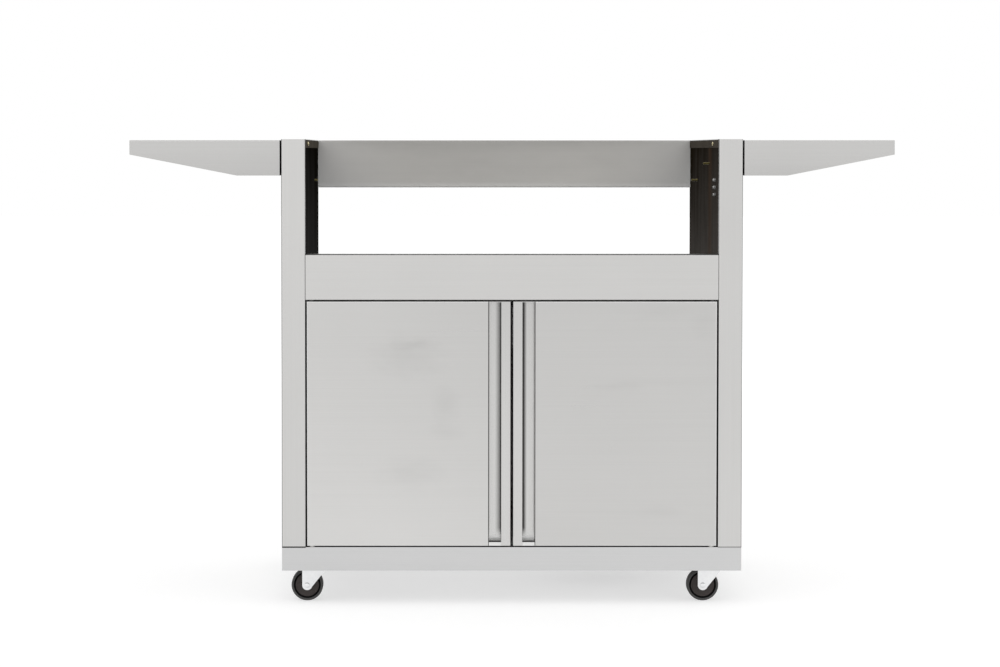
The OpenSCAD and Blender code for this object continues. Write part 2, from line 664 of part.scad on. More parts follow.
module shelf_brackets() color("#9c9ea0") both_sides() for (b = lug_sides) difference() {
    translate([0, b[0], 0]) mirror([0, b[1] > 0 ? 0 : 1, 0]) {
        block([half_w, -2 * bracket_half, bolt_low_z - 10], [half_w + bracket_t, 0, bolt_high_z + 12]);
        along_y(0, bracket_t) polygon([[half_w, shelf_pin_z - 6], [shelf_pin_x + 8, shelf_pin_z - 6],
            [shelf_pin_x + 8, shelf_pin_z + 6], [half_w + bracket_t, bolt_high_z],
            [half_w, bolt_high_z]]);
    }
    rod_y(b[0] - 10, b[0] + 10, shelf_pin_x, shelf_pin_z, shelf_pin_r + hole_fit);
    for (z = [bolt_low_z, bolt_high_z])
        rod_x(half_w - 1, half_w + 10, b[0] - b[1] * bracket_half, z, bracket_bolt_r + hole_fit);
}

module shelf_pivots() color("#c2c4c6") both_sides() for (b = lug_sides)
    translate([shelf_pin_x, b[0], shelf_pin_z]) rotate([b[1] > 0 ? -90 : 90, 0, 0]) {
        translate([0, 0, -3]) cylinder(h = 3, r = shelf_pin_r + 1.6);
        translate([0, 0, -2]) cylinder(h = bracket_t + lug_gap + lug_t + 4.5, r = shelf_pin_r);
        translate([0, 0, bracket_t + lug_gap + lug_t + head_gap])
            cylinder(h = 2, r = shelf_pin_r + 1.6);
    }

// bolt along X with its head on the bracket, its nut on the wall's stiffener and its tip at tip_x
module bracket_bolt(b, tip_x) {
    rod_x(tip_x, half_w + bracket_t + 1, b[0], b[1], bracket_bolt_r);
    for (x = [half_w + bracket_t, half_w - skin_t - base_t - bolt_head_h])
        translate([x, b[0], b[1]]) rotate([0, 90, 0]) hex(bolt_head_h, bracket_bolt_r);
}

module shelf_bracket_bolts() color("#c9b677") for (s = [0, 1]) mirror([1 - s, 0, 0]) for (b = wall_bolts()) {
    long = len([for (l = long_bolts(s)) if (l == b) l]) > 0;
    bracket_bolt(b, long ? liner_x - bolt_tail[s] : half_w - skin_t - base_t - bolt_head_h - 4);
}

base_pan();
mirrored() caster_rail();  // left_caster_rail
caster_rail();  // right_caster_rail
caster_top_plates();
caster_plate_bolts();
caster_kingpins();
caster_fork(0);  // front_left_fork
caster_fork(1);  // front_right_fork
caster_fork(2);  // rear_left_fork
caster_fork(3);  // rear_right_fork
caster_axle(0);  // front_left_axle
caster_axle(1);  // front_right_axle
caster_axle(2);  // rear_left_axle
caster_axle(3);  // rear_right_axle
caster_hub(0);  // front_left_hub
caster_hub(1);  // front_right_hub
caster_hub(2);  // rear_left_hub
caster_hub(3);  // rear_right_hub
caster_tyre(0);  // front_left_tyre
caster_tyre(1);  // front_right_tyre
caster_tyre(2);  // rear_left_tyre
caster_tyre(3);  // rear_right_tyre
mirrored() side_panel();  // left_side_panel
side_panel();  // right_side_panel
mirrored() inner_panel(0);  // left_inner_panel
inner_panel(1);  // right_inner_panel
mirrored() top_rail();  // left_top_rail
top_rail();  // right_top_rail
wall_stiffeners();
rail_screws();
dome_nuts();
front_apron();
back_upper_rail();
rear_panel();
hose_grommet();
heat_shield();
liner_screws();
door_pivot_pins();
door_magnets();
mirrored() door_skin();  // left_door_skin
door_skin();  // right_door_skin
mirrored() door_pull();  // left_door_pull
door_pull();  // right_door_pull
mirrored() door_back_panel();  // left_door_back
door_back_panel();  // right_door_back
mirrored() door_bushings();  // left_door_bushings
door_bushings();  // right_door_bushings
mirrored() door_strike();  // left_door_strike
door_strike();  // right_door_strike
mirrored() shelf_pan();  // left_shelf_pan
shelf_pan();  // right_shelf_pan
mirrored() shelf_stiffener();  // left_shelf_stiffener
shelf_stiffener();  // right_shelf_stiffener
mirrored() shelf_lugs();  // left_shelf_lugs
shelf_lugs();  // right_shelf_lugs
shelf_brackets();
shelf_pivots();
shelf_bracket_bolts();
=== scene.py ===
import json
import math
import random

import bmesh
import bpy
from mathutils import Matrix, Vector


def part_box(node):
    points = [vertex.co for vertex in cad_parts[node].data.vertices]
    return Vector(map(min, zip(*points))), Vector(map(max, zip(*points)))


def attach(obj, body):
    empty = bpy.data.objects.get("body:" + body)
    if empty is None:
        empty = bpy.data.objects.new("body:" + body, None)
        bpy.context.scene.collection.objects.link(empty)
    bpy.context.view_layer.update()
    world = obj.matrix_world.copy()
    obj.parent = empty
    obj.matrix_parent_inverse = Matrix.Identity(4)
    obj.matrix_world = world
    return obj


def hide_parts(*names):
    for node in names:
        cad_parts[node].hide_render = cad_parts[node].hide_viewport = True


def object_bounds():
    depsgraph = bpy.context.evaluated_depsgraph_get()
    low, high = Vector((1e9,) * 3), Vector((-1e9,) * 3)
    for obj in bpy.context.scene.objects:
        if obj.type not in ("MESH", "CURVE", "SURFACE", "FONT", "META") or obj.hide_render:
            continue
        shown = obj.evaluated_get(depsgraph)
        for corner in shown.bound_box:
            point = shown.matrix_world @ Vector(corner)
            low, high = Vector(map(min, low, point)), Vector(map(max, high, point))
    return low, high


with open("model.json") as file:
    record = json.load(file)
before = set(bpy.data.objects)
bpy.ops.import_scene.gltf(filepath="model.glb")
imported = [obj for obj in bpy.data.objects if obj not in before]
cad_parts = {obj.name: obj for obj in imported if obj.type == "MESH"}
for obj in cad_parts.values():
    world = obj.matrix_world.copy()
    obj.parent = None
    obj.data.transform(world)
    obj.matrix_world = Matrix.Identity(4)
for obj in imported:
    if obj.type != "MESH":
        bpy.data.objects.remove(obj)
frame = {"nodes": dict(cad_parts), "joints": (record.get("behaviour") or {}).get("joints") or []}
cad_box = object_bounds()
nodes = frame["nodes"]

# The camera stands about five metres in front of the cart, just below the height of its top and a little to
# the left, with a long lens. It is tilted down slightly, and the rest of the framing is shift.
tilt_down = math.radians(2.062)
left_of_middle, before_front, eye_height = 0.150, 5.15, 0.904
camera = bpy.data.objects.new("camera", bpy.data.cameras.new("camera"))
bpy.context.collection.objects.link(camera)
camera.location = (-left_of_middle, cad_box[0][1] - before_front, eye_height)
camera.rotation_euler = (math.pi / 2 - tilt_down, 0, 0)
camera.data.lens = 93.7
camera.data.sensor_width = 36
camera.data.shift_x = 0.06375
camera.data.shift_y = -0.0895
camera.data.clip_end = 80
bpy.context.scene.camera = camera
bpy.context.scene.view_settings.view_transform = "Standard"


# The studio is a pale floor that runs out of sight in a white room, with three large soft lamps: one high
# at the left front, a weaker one at the right and one behind. The camera and polished metal see it white.
class Shade:
    """One output in a material's node tree. Arithmetic on it adds Math nodes."""

    def __init__(self, tree, socket=None):
        self.tree = tree
        self.socket = socket

    def node(self, kind, settings=None, sockets=None, out=0):
        """Adds a node of a type, with its settings, then the values or links of its sockets."""
        made = self.tree.nodes.new("ShaderNode" + kind)
        for name, value in (settings or {}).items():
            setattr(made, name, value)
        for name, value in (sockets or {}).items():
            if isinstance(value, Shade):
                self.tree.links.new(value.socket, made.inputs[name])
            else:
                made.inputs[name].default_value = value
        return Shade(self.tree, made.outputs[out] if made.outputs else None)

    def maths(self, operation, a, b=0.0, limit=False):
        """Adds one Math node, held between 0 and 1 if it has a limit."""
        return self.node("Math", {"operation": operation, "use_clamp": limit}, {0: a, 1: b})

    def __add__(self, other):
        return self.maths("ADD", self, other)

    __radd__ = __add__

    def __sub__(self, other):
        return self.maths("SUBTRACT", self, other)

    def __rsub__(self, other):
        return self.maths("SUBTRACT", other, self)

    def __mul__(self, other):
        return self.maths("MULTIPLY", self, other)

    __rmul__ = __mul__

    def __truediv__(self, other):
        return self.maths("DIVIDE", self, other)

    def __rtruediv__(self, other):
        return self.maths("DIVIDE", other, self)

    def __pow__(self, other):
        return self.maths("POWER", self, other)

    def __rpow__(self, other):
        return self.maths("POWER", other, self)

    def __abs__(self):
        return self.maths("ABSOLUTE", self)

    def above(self, other):
        """1 where this is the greater, 0 elsewhere."""
        return self.maths("GREATER_THAN", self, other)

    def limited(self):
        """This, held between 0 and 1."""
        return self.maths("ADD", self, 0.0, True)

    def ramp(self, empty, full):
        """0 where this is at or before the first value, 1 from the second on, and even between them."""
        return ((self - empty) / (full - empty)).limited()


def seen_directly(shade):
    """1 for rays from the camera and for reflections, 0 for light that reaches a surface."""
    return (shade.node("LightPath", out="Is Camera Ray") + shade.node("LightPath", out="Is Glossy Ray")
            + shade.node("LightPath", out="Is Transmission Ray")).limited()


room_light = 0.72
world = bpy.data.worlds.new("white room")
bpy.context.scene.world = world
world.use_nodes = True
world.node_tree.nodes.clear()
room = Shade(world.node_tree)
room_glow = room_light + (1 - room_light) * seen_directly(room)
glow = room.node("Background", {}, {"Color": (1, 1, 1, 1), "Strength": room_glow})
room.node("OutputWorld", {}, {"Surface": glow})


def new_finish(name):
    """A material, and the Shade that adds nodes to it."""
    finish = bpy.data.materials.new(name)
    finish.use_nodes = True
    finish.node_tree.nodes.clear()
    return finish, Shade(finish.node_tree)


floor_half = 30
floor_mesh = bpy.data.meshes.new("studio_floor")
floor_corners = [(x * floor_half, y * floor_half, 0) for x, y in ((-1, -1), (1, -1), (1, 1), (-1, 1))]
floor_mesh.from_pydata(floor_corners, [], [(0, 1, 2, 3)])
floor = bpy.data.objects.new("studio_floor", floor_mesh)
bpy.context.collection.objects.link(floor)
floor_paint, ground = new_finish("pale floor")
matt_paint = ground.node("BsdfDiffuse", {}, {"Color": (0.55, 0.55, 0.55, 1)})
ground_place = ground.node("TexCoord", out="Object")
from_cart = ground.node("VectorMath", {"operation": "LENGTH"}, {0: ground_place}, "Value")
glow_near, glow_added_far = 0.57, 0.14
floor_glow = seen_directly(ground) * (glow_near + glow_added_far * from_cart.ramp(1.6, 5.6))
lift = ground.node("Emission", {}, {"Strength": floor_glow})
both = ground.node("AddShader", {}, {0: matt_paint, 1: lift})
ground.node("OutputMaterial", {}, {"Surface": both})
floor_mesh.materials.append(floor_paint)

aim = Vector((0, 0, 0.45))
for name, place, width, height, watts in (("key_lamp", (-2.8, -3.9, 3.7), 7.4, 6.0, 66),
                                          ("side_lamp", (3.9, -2.4, 2.9), 6.4, 5.0, 38),
                                          ("back_lamp", (0.6, 4.2, 3.6), 7.0, 5.4, 46)):
    lamp = bpy.data.objects.new(name, bpy.data.lights.new(name, "AREA"))
    bpy.context.collection.objects.link(lamp)
    lamp.data.shape = "RECTANGLE"
    lamp.data.size = width
    lamp.data.size_y = height
    lamp.data.energy = watts
    lamp.location = place
    lamp.rotation_euler = (aim - Vector(place)).to_track_quat("-Z", "Y").to_euler()


# The base pan is a shallow box folded down from one sheet of brushed stainless steel, with a lip turned in
# along its lower edge. It carries the whole cart and has a round seat pressed in for the gas bottle.
def close_finish(finish, shade, sockets):
    """Ends a material with a surface shader that has these values and links."""
    surface = shade.node("BsdfPrincipled", {}, sockets)
    shade.node("OutputMaterial", {}, {"Surface": surface})
    return finish


def scaled(shade, scale):
    """Object coordinates times a scale for each axis, in waves per metre."""
    place = shade.node("TexCoord", out="Object")
    return shade.node("VectorMath", {"operation": "MULTIPLY"}, {0: place, 1: scale})


def noise(shade, vector, detail=2.0, rough=0.5):
    """Soft noise between 0 and 1, about one wave to each unit of the vector."""
    return shade.node("TexNoise", {"noise_dimensions": "3D"},
                      {"Vector": vector, "Scale": 1.0, "Detail": detail, "Roughness": rough})


def relief(shade, height):
    """A surface that stands up by a height in metres."""
    return shade.node("Bump", {}, {"Strength": 1.0, "Distance": 1.0, "Height": height})


def mixed(shade, factor, a, b):
    """Colour a where the factor is 0, b where it is 1."""
    return shade.node("Mix", {"data_type": "RGBA", "clamp_factor": True}, {0: factor, 6: a, 7: b}, 2)


def grey(level, warmth=0.0):
    """A grey that leans to yellow by its warmth, or to blue where that is below 0."""
    return (level * (1 + warmth / 2), level, level * (1 - warmth), 1)


def facing(shade, axis):
    """How far the surface is turned towards one axis."""
    return shade.node("SeparateXYZ", {}, {0: shade.node("TexCoord", out="Normal")}, "xyz".index(axis))


def grain_vector(shade, along, across, waves):
    """Coordinates for lines that run along one axis, and along another on faces that look that way."""
    def lines(axis):
        scale = [waves] * 3
        scale["xyz".index(axis)] = 2.2
        return scaled(shade, scale)
    end_on = abs(facing(shade, along)).above(0.7)
    return shade.node("Mix", {"data_type": "VECTOR"}, {0: end_on, 4: lines(along), 5: lines(across)}, 1)


def places(shade):
    """A point's place at rest in metres: to the right, to the back, up, and how far from the middle."""
    place = shade.node("TexCoord", out="Object")
    out, back, up = (shade.node("SeparateXYZ", {}, {0: place}, axis) for axis in range(3))
    return out, back, up, abs(out)


def brushed(name, level, along, across, rough=0.34, metal=1.0, warm=0.017, touch=None, matt=0.9):
    """Stainless sheet with fine grain. touch gives how its tone shifts by soil and painted sheen, and its
    painted light and painted shade from place to place; matt is how much shine painted light takes away."""
    finish, shade = new_finish(name)
    spread, grain = 0.14, 0.032
    fine = noise(shade, grain_vector(shade, along, across, 900), 3, 0.6)
    coarse = noise(shade, grain_vector(shade, along, across, 130), 3, 0.6)
    patch = noise(shade, scaled(shade, (5, 5, 5)), 3, 0.55)
    wave = noise(shade, scaled(shade, (2.3, 2.3, 3.1)), 1)
    soil_and_sheen, painted_light, painted_shade = touch(shade) if touch else (0.0, 0.0, 0.0)
    streaks = (fine - 0.5) * 1.3 + (coarse - 0.5) * 0.5 + (patch - 0.5) * 0.9
    tone = 0.5 + streaks * (grain / spread) - soil_and_sheen
    low, high = grey(level * (1 - spread), warm), grey(level * (1 + spread), warm)
    colour = mixed(shade, tone.limited(), low, high)
    if touch:
        # Painted light mixes towards pale grey and takes away shine; painted shade mixes towards near black.
        colour = mixed(shade, painted_light, colour, (0.86, 0.86, 0.85, 1))
        colour = mixed(shade, painted_shade, colour, (0.016, 0.015, 0.014, 1))
        metal = metal * (1 - painted_light * matt)
    return close_finish(finish, shade, {
        "Base Color": colour, "Metallic": metal,
        "Roughness": rough + (coarse - 0.5) * 0.1 + (patch - 0.5) * 0.08,
        "Normal": relief(shade, fine * 0.00002 + coarse * 0.00004 + wave * 0.0011)})


def give(finish, *names):
    """Puts a finish on CAD nodes, in place of the plain one that they came with."""
    for name in names:
        for material_slot in nodes[name].material_slots:
            material_slot.material = finish


front = cad_box[0][1]
pan_side, pan_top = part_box("base_pan")[1].x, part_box("base_pan")[1].z
wall_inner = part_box("right_side_panel")[0].x


def pan_touch(shade):
    """The joint with the walls above and the edge that is hidden under the doors have painted shade."""
    out, back, up, far_out = places(shade)
    joint_height, top_slack, shadow_start, shadow_full = 0.0014, 0.0005, 0.022, 0.002
    joint_shade = up.above(pan_top - joint_height) * far_out.above(wall_inner) * (0.96 - 0.5 * out.above(0))
    on_top = facing(shade, "z").above(0.5) * up.above(pan_top - top_slack)
    shade_under_doors = on_top * back.ramp(front + shadow_start, front + shadow_full)
    return 0.0, 0.0, (joint_shade + shade_under_doors * 0.95).limited()


give(brushed("pan steel", 0.600, "x", "y", warm=0.0, touch=pan_touch), "base_pan")


# Two galvanised channels are welded under the pan, front to back, and the casters' top plates are bolted
# up into them. Each top plate is pressed with a round cup for the upper ball race.
def galvanised(name, level, spangle, rough=0.42):
    """Zinc coated sheet with its faint crystals, in crystals per metre."""
    finish, shade = new_finish(name)
    cells = shade.node("TexVoronoi", {"feature": "F1"},
                       {"Vector": scaled(shade, (spangle, spangle, spangle)), "Scale": 1.0}, "Color")
    crystal = shade.node("SeparateColor", {}, {0: cells}, 0)
    dull = noise(shade, scaled(shade, (18, 18, 18)), 4, 0.6)
    tone = 0.15 + crystal * 0.45 + dull * 0.4
    return close_finish(finish, shade, {
        "Base Color": mixed(shade, tone.limited(), grey(level * 0.82, -0.012), grey(level * 1.1, -0.004)),
        "Metallic": 1.0, "Roughness": rough + dull * 0.16,
        "Normal": relief(shade, dull * 0.00012 + crystal * 0.00001)})


def plated(name, low, high, rough):
    """Zinc plating on turned and pressed parts, a little cloudy."""
    finish, shade = new_finish(name)
    cloud = noise(shade, scaled(shade, (60, 60, 60)), 3, 0.6)
    scratch = noise(shade, scaled(shade, (700, 260, 700)), 2, 0.6)
    return close_finish(finish, shade, {
        "Base Color": mixed(shade, (cloud * 0.8 + scratch * 0.3 - 0.05).limited(), low, high),
        "Metallic": 1.0, "Roughness": rough + (cloud - 0.5) * 0.16,
        "Normal": relief(shade, scratch * 0.000012 + cloud * 0.00003)})


zinc = galvanised("galvanised sheet", 0.44, 130)
bright = plated("bright zinc", (0.70, 0.71, 0.72, 1), (0.94, 0.94, 0.94, 1), 0.30)
give(zinc, "left_caster_rail", "right_caster_rail")
give(bright, "caster_top_plates")

MM = 0.001


def corners(node):
    """A CAD node's lowest and highest corners at rest, in millimetres."""
    return [[round(length / MM, 3) for length in corner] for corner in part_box(node)]


def pivot(joint_name):
    """Where a joint of the cart stands at rest, in millimetres."""
    joint = next(joint for joint in frame["joints"] if joint["name"] == joint_name)
    return [length / MM for length in joint["pos_m"]]


def join_rings(form, rings, place, closed=False):
    """Adds faces between rings of points given in millimetres; a ring may be a single point."""
    made = [[form.verts.new(place @ (Vector(point) * MM)) for point in ring] for ring in rings]
    for low, high in zip(made, made[1:] + (made[:1] if closed else [])):
        for i in range(max(len(low), len(high))):
            j = i + 1
            edges = [low[i % len(low)], low[j % len(low)], high[j % len(high)], high[i % len(high)]]
            edges = list(dict.fromkeys(edges))
            if len(edges) > 2:
                form.faces.new(edges)


def angles(steps):
    """Even angles once round, in radians."""
    return [math.tau * i / steps for i in range(steps)]


def polar(radius, angle, height):
    """A point at a radius and angle about Z."""
    return (radius * math.cos(angle), radius * math.sin(angle), height)


def turn(form, profile, place, steps=40, closed=False):
    """Adds a shape turned about Z from (radius, height) points."""
    rings = [[polar(r, a, h) for a in angles(steps)] if r else [(0, 0, h)] for r, h in profile]
    join_rings(form, rings, place, closed)


def standing(x, y, z, axis=(0, 0, 1)):
    """Place at a point in millimetres, with Z turned to look along the axis."""
    turned = Vector((0, 0, 1)).rotation_difference(Vector(axis)).to_matrix().to_4x4()
    return Matrix.Translation(Vector((x, y, z)) * MM) @ turned


def hexagon(form, place, flats, height, start=0.0):
    """Adds a hex head or nut with its corners turned off at thirty degrees on the outer face."""
    steps = 60
    face_r, chamfer_slope = flats * 0.47, 0.577
    sixth, twelfth = math.pi / 3, math.pi / 6
    radii = [flats / 2 / math.cos((a + twelfth) % sixth - twelfth) for a in angles(steps)]
    top = start + height
    lower = [polar(r, a, start) for r, a in zip(radii, angles(steps))]
    upper = [polar(r, a, top - (r - face_r) * chamfer_slope) for r, a in zip(radii, angles(steps))]
    face = [polar(face_r, a, top) for a in angles(steps)]
    join_rings(form, [[(0, 0, start)], lower, upper, face, [(0, 0, top)]], place)


def threaded(form, place, radius, start, end):
    """Adds a bolt's end with a real thread, and a chamfered tip."""
    steps, rows_per_turn = 24, 5
    pitch, depth, chamfer = 0.8, 0.34, 0.9

    def groove(height, i):
        turn_part = (height / pitch - i / steps) % 1
        return radius - depth * abs(2 * turn_part - 1)
    rows = [start + k * pitch / rows_per_turn for k in range(int((end - start) / pitch * rows_per_turn))]
    rings = [[polar(groove(h, i), a, h) for i, a in enumerate(angles(steps))] for h in rows]
    tip = [polar(radius - chamfer, a, end) for a in angles(steps)]
    join_rings(form, [[(0, 0, start)]] + rings + [tip, [(0, 0, end)]], place)


def new_piece(name, form, finish, body, slot, *replaced):
    """Makes a piece of the cart: smooth but for its sharp edges, riding on its body."""
    bmesh.ops.remove_doubles(form, verts=form.verts, dist=1e-7)
    bmesh.ops.recalc_face_normals(form, faces=form.faces)
    mesh = bpy.data.meshes.new(name)
    form.to_mesh(mesh)
    form.free()
    mesh.shade_smooth()
    mesh.set_sharp_from_angle(angle=math.radians(33))
    mesh.materials.append(finish)
    piece = bpy.data.objects.new(name, mesh)
    bpy.context.collection.objects.link(piece)
    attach(piece, body)
    if replaced:
        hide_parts(*replaced)
    return piece


casters = ("front_left", "front_right", "rear_left", "rear_right")
plate, rail_sheet = 2.5, 1.5
plate_top = corners("caster_top_plates")[1][2]
bolt_from_pin, bolt_flats, bolt_r, bolt_thread = 24, 10.4, 3, (3.5, 10)
head_height, nut_height, washer_height = 3.3, 4, 0.7
washer = [(0, 0), (6.4, 0), (6.4, washer_height), (0, washer_height)]
# The pin's heights, and the ball race's further on, are above the floor.
riveted_pin = [(0, 64), (4.6, 64), (5.7, 64.5), (6, 65.2), (5.7, 65.7), (4, 65.7), (4, 80), (7, 80),
               (6.8, 81.4), (5.4, 82.6), (3, 83), (0, 83.1)]
bolts, pins = bmesh.new(), bmesh.new()
for caster in casters:
    x, y, _ = pivot(caster + "_swivel")
    for bolt_x in (x - bolt_from_pin, x + bolt_from_pin):
        for bolt_y in (y - bolt_from_pin, y + bolt_from_pin):
            head = standing(bolt_x, bolt_y, plate_top - plate, (0, 0, -1))
            turn(bolts, washer, head, steps=36)
            hexagon(bolts, head, bolt_flats, head_height, washer_height)
            nut = standing(bolt_x, bolt_y, plate_top + rail_sheet)
            hexagon(bolts, nut, bolt_flats, nut_height)
            threaded(bolts, nut, bolt_r, *bolt_thread)
    turn(pins, riveted_pin, standing(x, y, 0))
new_piece("caster_bolts_hex", bolts, bright, "cart", "bright_zinc", "caster_plate_bolts")
new_piece("caster_pins_riveted", pins, bright, "cart", "bright_zinc", "caster_kingpins")

# The rails are held to the pan by short stitch welds along both flanges. Each was laid by hand, so its
# ripples overlap and are a little uneven.
weld_steel = galvanised("weld bead", 0.33, 300, 0.36)


def bead(form, start, end, radius, seed):
    """Adds a weld bead with its overlapping ripples between two points in millimetres."""
    steps, ripple = 12, 0.55
    dip, dips_apart, uneven = 0.16, 0.9, 0.05
    start, end = Vector(start), Vector(end)
    length = (end - start).length
    along = (end - start).normalized()
    side = along.orthogonal().normalized()
    other = along.cross(side)
    draw = random.Random(seed)
    count = max(8, int(length / ripple))
    rings = [[tuple(start)]]
    for k in range(1, count):
        part = k / count
        swell = min(1, 4 * part, 4 * (1 - part)) ** 0.5
        r = radius * swell * (1 - dip * abs(math.sin(k * dips_apart)) + draw.uniform(-uneven, uneven))
        centre = start + along * length * part
        spokes = [(side * math.cos(a) + other * math.sin(a)) * r for a in angles(steps)]
        rings.append([tuple(centre + spoke) for spoke in spokes])
    join_rings(form, rings + [[tuple(end)]], Matrix.Identity(4))


rail_low, rail_high = corners("right_caster_rail")
stitch_z, stitch_length, stitch_r = rail_high[2] - 1.4, 40, 1.7
stitch_starts = (-262, -140, -20, 100, 222)
welds = bmesh.new()
for hand in (-1, 1):
    for edge in (rail_low[0], rail_high[0]):
        for n, y in enumerate(stitch_starts):
            start, end = (hand * edge, y, stitch_z), (hand * edge, y + stitch_length, stitch_z)
            bead(welds, start, end, stitch_r, n + int(edge) + hand)
new_piece("rail_stitch_welds", welds, weld_steel, "cart", "zinc_sheet")

# Each caster has a fork pressed from zinc plated plate. Its two cheeks run down to an axle that trails the
# swivel pin, and the raised crown holds the lower ball race. A bolt with a low head is the axle.
cheek_face, foot_r, cheek_rows = 16.5, 10, (36, 42, 48, 54, 59, 62)
crown_top, crown_half, crown_bend = 68.5, 22, 4
slope_start, slope_end = (-3.3, 27.35), (22, 59)
race = [(4.1, 66), (20.6, 66), (21.6, 66.3), (22, 67), (22, 68.4), (21.6, 69), (20.4, 69.2), (19.2, 68.8),
        (14.2, 68.6), (13.2, 69.2), (13, 70.2), (13, 75.4), (12.4, 76.1), (4.1, 76.2)]
axle_head = [(0, -17), (3, -17), (3, -0.2), (5.2, 0), (5.4, 0.5), (4.9, 1.3), (3.6, 2), (1.8, 2.4),
             (0, 2.5)]
axle_nut_flats, axle_nut_height, axle_thread = 10, 3.4, (-17, 5)
nut_collar = [(4.3, 3.2), (4.2, 4.1), (3.8, 4.6), (3.1, 4.7), (3.05, 3.2)]


def fork_rows(axle_z):
    """Points along the fork's bent sheet with their normals, from foot to foot over the crown."""
    rows = [(cheek_face, axle_z - foot_r * math.cos(math.radians(a)), 1, 0) for a in range(0, 91, 10)]
    rows += [(cheek_face, z, 1, 0) for z in cheek_rows]
    bend_y, bend_z = cheek_face - crown_bend, crown_top - crown_bend
    for a in range(0, 91, 15):
        ny, nz = math.cos(math.radians(a)), math.sin(math.radians(a))
        rows.append((bend_y + crown_bend * ny, bend_z + crown_bend * nz, ny, nz))
    return rows + [(-y, z, -ny, nz) for y, z, ny, nz in reversed(rows)]


def fork_edges(z, axle_x, axle_z):
    """The cheek's two edges at a height in its side view, measured from the swivel pin."""
    half_foot = max(0, foot_r ** 2 - (axle_z - z) ** 2) ** 0.5
    slope = (slope_end[0] - slope_start[0]) / (slope_end[1] - slope_start[1])
    left = -crown_half if z >= axle_z else axle_x - half_foot
    on_slope = slope_start[0] + (z - slope_start[1]) * slope
    right = axle_x + half_foot if z < slope_start[1] else min(crown_half, on_slope)
    return left, right


for caster in casters:
    x, y, _ = pivot(caster + "_swivel")
    axle_x, _, axle_z = pivot(caster + "_roll")
    rings = []
    for across, height, ny, nz in fork_rows(axle_z):
        left, right = fork_edges(height, axle_x - x, axle_z)
        run = [left + (right - left) * k / 6 for k in range(7)]
        outer = [(along, across, height) for along in run]
        inner = [(along, across - plate * ny, height - plate * nz) for along in reversed(run)]
        rings.append(outer + inner)
    form = bmesh.new()
    join_rings(form, rings, standing(x, y, 0))
    turn(form, race, standing(x, y, 0), steps=56, closed=True)
    fork = new_piece(caster + "_fork_pressed", form, bright, caster + "_caster_fork", "bright_zinc",
                     caster + "_fork")
    ease = fork.modifiers.new("eased edges", "BEVEL")
    ease.width = 0.5 * MM
    ease.segments = 2
    ease.limit_method = "ANGLE"
    ease.angle_limit = math.radians(50)

    form = bmesh.new()
    turn(form, axle_head, standing(axle_x, y - cheek_face, axle_z, (0, -1, 0)), steps=36)
    nut = standing(axle_x, y + cheek_face, axle_z, (0, 1, 0))
    hexagon(form, nut, axle_nut_flats, axle_nut_height)
    turn(form, nut_collar, nut, steps=36)
    threaded(form, nut, bolt_r, *axle_thread)
    new_piece(caster + "_axle_bolt", form, bright, caster + "_caster_fork", "bright_zinc",
              caster + "_axle")


# The wheels are a moulded nylon hub with a thermoplastic rubber tyre over it. A deep narrow groove runs
# between the flat of the hub and the ring of the tread, and the mould's parting line shows on the tread.
def moulded(name, low, high, fine, rough):
    """Rubber or plastic as it comes from the mould, dusty from use."""
    finish, shade = new_finish(name)
    dust = noise(shade, scaled(shade, (80, 80, 80)), 4, 0.65)
    grain = noise(shade, scaled(shade, (fine, fine, fine)), 2)
    return close_finish(finish, shade, {
        "Base Color": mixed(shade, dust, low, high), "Roughness": rough + dust * 0.22,
        "Specular IOR Level": 0.3, "Normal": relief(shade, grain * 0.00003 + dust * 0.00006)})


rubber = moulded("tyre rubber", (0.075, 0.074, 0.073, 1), (0.125, 0.123, 0.121, 1), 1500, 0.55)
# The near-black rubber in the groove is painted shade for the deep narrow groove.
groove_shade_rubber = moulded("rubber painted with groove shade", (0.003, 0.003, 0.003, 1), (0.009, 0.009, 0.009, 1), 1500, 0.8)
nylon_dark = moulded("hub nylon", (0.044, 0.0365, 0.0345, 1), (0.080, 0.067, 0.063, 1), 2200, 0.5)


def arc(radius, across, height, bends):
    """Points of a round stretch of a profile about (across, height), at angles in degrees from upright."""
    return [(across + radius * math.sin(math.radians(a)), height + radius * math.cos(math.radians(a)))
            for a in bends]


groove_inner, groove_outer, groove_half = 23.1, 26.95, 10.8
hub_half = [(3.1, 13.6), (7.4, 13.6), (8, 13.1), (8.3, 11.2), (9.3, 10.6), (11, 10.5), (11.4, 10.2),
            (20.6, 10.4), (21.2, 10.9), (22.7, 11), (23.3, 10.6), (23.4, 9.6), (23.4, 6.4), (24, 6), (24, 0)]
tread_half = [(24, 6.4), (26, 6.4), (26.7, 7), (26.9, 10.6), (27.3, 11.6), (28.1, 12)]
tread_half += arc(3, 28.75, 9, range(0, 81, 16)) + [(31.7, 7.5), (31.73, 4), (31.6, 0.5), (31.75, 0.2)]
for caster in casters:
    axle = standing(*pivot(caster + "_roll"), (0, 1, 0))
    for part, half, finish, slot in (("hub", hub_half, nylon_dark, "hub_plastic"),
                                     ("tyre", tread_half, rubber, "tyre_rubber")):
        form = bmesh.new()
        turn(form, half + [(r, -h) for r, h in reversed(half)], axle, steps=120, closed=True)
        wheel = new_piece(caster + "_" + part + "_moulded", form, finish, caster + "_caster_wheel", slot,
                          caster + "_" + part)
        wheel.data.materials.append(groove_shade_rubber)
        for face in wheel.data.polygons:
            middle = (face.center - axle.translation) / MM
            # Faces in the groove take the painted shade rubber.
            in_groove = groove_inner < math.hypot(middle.x, middle.z) < groove_outer
            face.material_index = int(in_groove and abs(middle.y) < groove_half)


